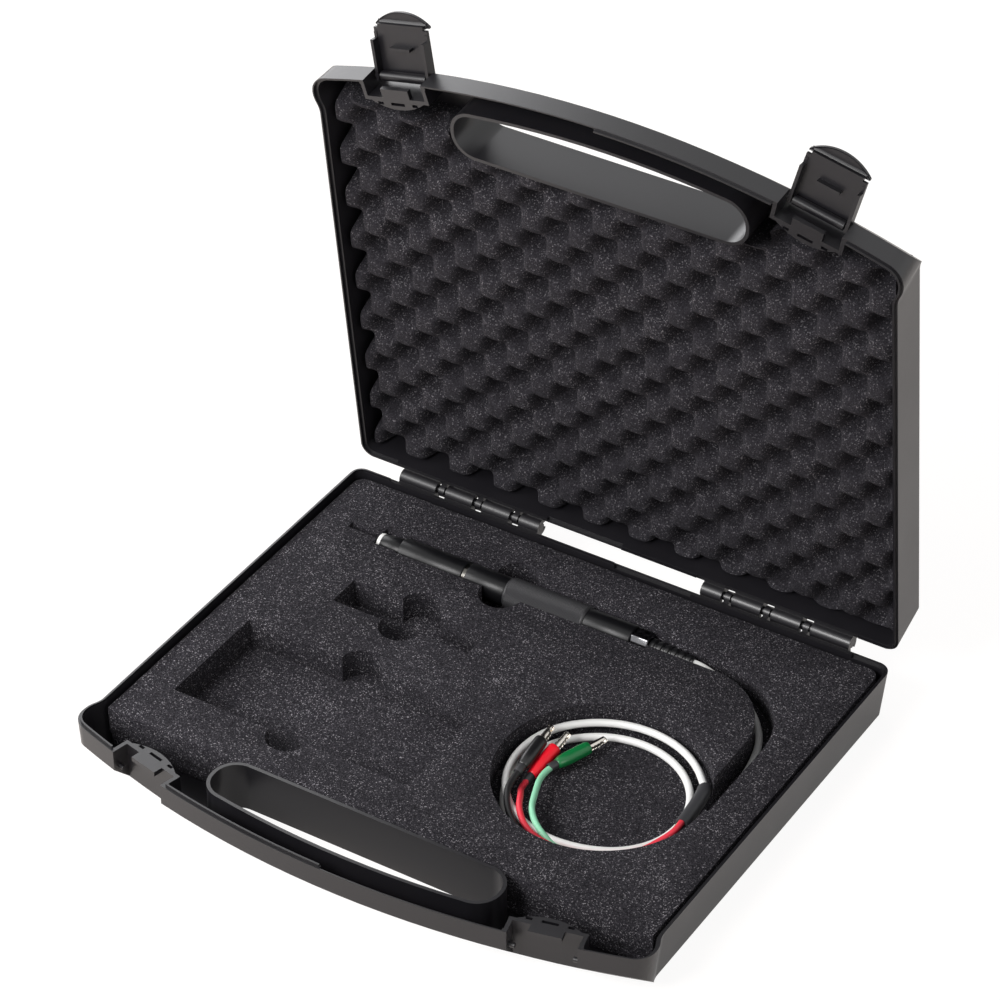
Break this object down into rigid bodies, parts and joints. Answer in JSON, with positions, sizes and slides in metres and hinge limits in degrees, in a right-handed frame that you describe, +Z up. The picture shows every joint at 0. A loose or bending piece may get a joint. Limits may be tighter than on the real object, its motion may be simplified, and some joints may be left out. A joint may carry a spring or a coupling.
{
  "type": "test probe in a carry case",
  "caption": "Plastic carry case standing open, egg-crate foam in its lid and a cut foam tray holding a pencil test probe whose coiled cable ends in crocodile-clip leads.",
  "frame": {"origin": "middle of the flat underside of the base, on the surface it stands on", "axes": "+X to the right along the hinge, +Y from the handle to the hinge, +Z up"},
  "size_m": [0.3162, 0.2976, 0.3118],
  "materials": {
    "case": "fine moulded texture",
    "foam": "open-cell foam",
    "white_plastic": "satin",
    "black_metal": "black anodised",
    "bright_metal": "turned",
    "black_rubber": "satin",
    "brass": "turned",
    "steel": "nickel plated",
    "white_cable": "satin",
    "red_cable": "satin",
    "green_cable": "satin",
    "black_cable": "satin",
    "red_plastic": "gloss",
    "green_plastic": "gloss",
    "black_plastic": "gloss"
  },
  "bodies": {
    "base": {"base_shell": "case", "base_foam_pad": "foam", "base_foam_tray": "foam", "probe_insulator": "white_plastic", "probe_nose": "black_metal", "probe_front_barrel": "black_metal", "probe_joint_ring": "bright_metal", "probe_middle_barrel": "black_metal", "probe_grip": "black_metal", "probe_rear_barrel": "black_metal", "probe_core_tube": "bright_metal", "probe_gland_nut": "black_metal", "probe_strain_relief": "black_rubber", "probe_spring_seat": "brass", "probe_inner_cable": "white_cable", "probe_cable": "white_cable", "probe_cable_coil": "white_cable", "lead_splice": "black_rubber", "red_lead": "red_cable", "green_lead": "green_cable", "black_lead": "black_cable", "red_boot": "red_plastic", "red_lead_sleeve": "black_rubber", "red_lower_jaw": "steel", "red_rivet": "steel", "red_clip_spring": "steel", "green_boot": "green_plastic", "green_lead_sleeve": "black_rubber", "green_lower_jaw": "steel", "green_rivet": "steel", "green_clip_spring": "steel", "black_boot": "black_plastic", "black_lead_sleeve": "black_rubber", "black_lower_jaw": "steel", "black_rivet": "steel", "black_clip_spring": "steel"},
    "lid": {"lid_shell": "case", "lid_foam": "foam"},
    "left_latch": {"latch_left": "case"},
    "right_latch": {"latch_right": "case"},
    "pin": {"probe_contact_pin": "brass", "probe_pin_spring": "steel"},
    "red_jaw": {"red_upper_jaw": "steel"},
    "green_jaw": {"green_upper_jaw": "steel"},
    "black_jaw": {"black_upper_jaw": "steel"}
  },
  "joints": [
    {"name": "lid_hinge", "type": "hinge", "parent": "base", "child": "lid", "pos_m": [0, 0.1388, 0.02667], "axis": [-1, 0, 0], "range_deg": [-82.58, 27.42]},
    {"name": "left_latch_hinge", "type": "hinge", "parent": "lid", "child": "left_latch", "pos_m": [-0.11034, 0.11621, 0.2814], "axis": [-0.9739, 0.0293, -0.2251], "range_deg": [-102, 48]},
    {"name": "right_latch_hinge", "type": "hinge", "parent": "lid", "child": "right_latch", "pos_m": [0.11034, 0.11621, 0.2814], "axis": [-0.9739, -0.0293, 0.2251], "range_deg": [-104, 46]},
    {"name": "contact_pin_slide", "type": "slide", "parent": "base", "child": "pin", "axis": [1, 0, 0], "range_m": [0, 0.002], "stiffness_N_per_m": 200},
    {"name": "red_jaw_hinge", "type": "hinge", "parent": "base", "child": "red_jaw", "pos_m": [0.04159, 0.00309, 0.01642], "axis": [0.9975, -0.0712, 0], "range_deg": [0, 10], "stiffness_Nm_per_rad": 0.05},
    {"name": "green_jaw_hinge", "type": "hinge", "parent": "base", "child": "green_jaw", "pos_m": [0.05353, 0.01287, 0.01585], "axis": [0.9456, -0.3254, 0], "range_deg": [0, 10], "stiffness_Nm_per_rad": 0.05},
    {"name": "black_jaw_hinge", "type": "hinge", "parent": "base", "child": "black_jaw", "pos_m": [0.03557, 0.00103, 0.02019], "axis": [0.9981, 0.0609, 0], "range_deg": [0, 10], "stiffness_Nm_per_rad": 0.05}
  ]
}
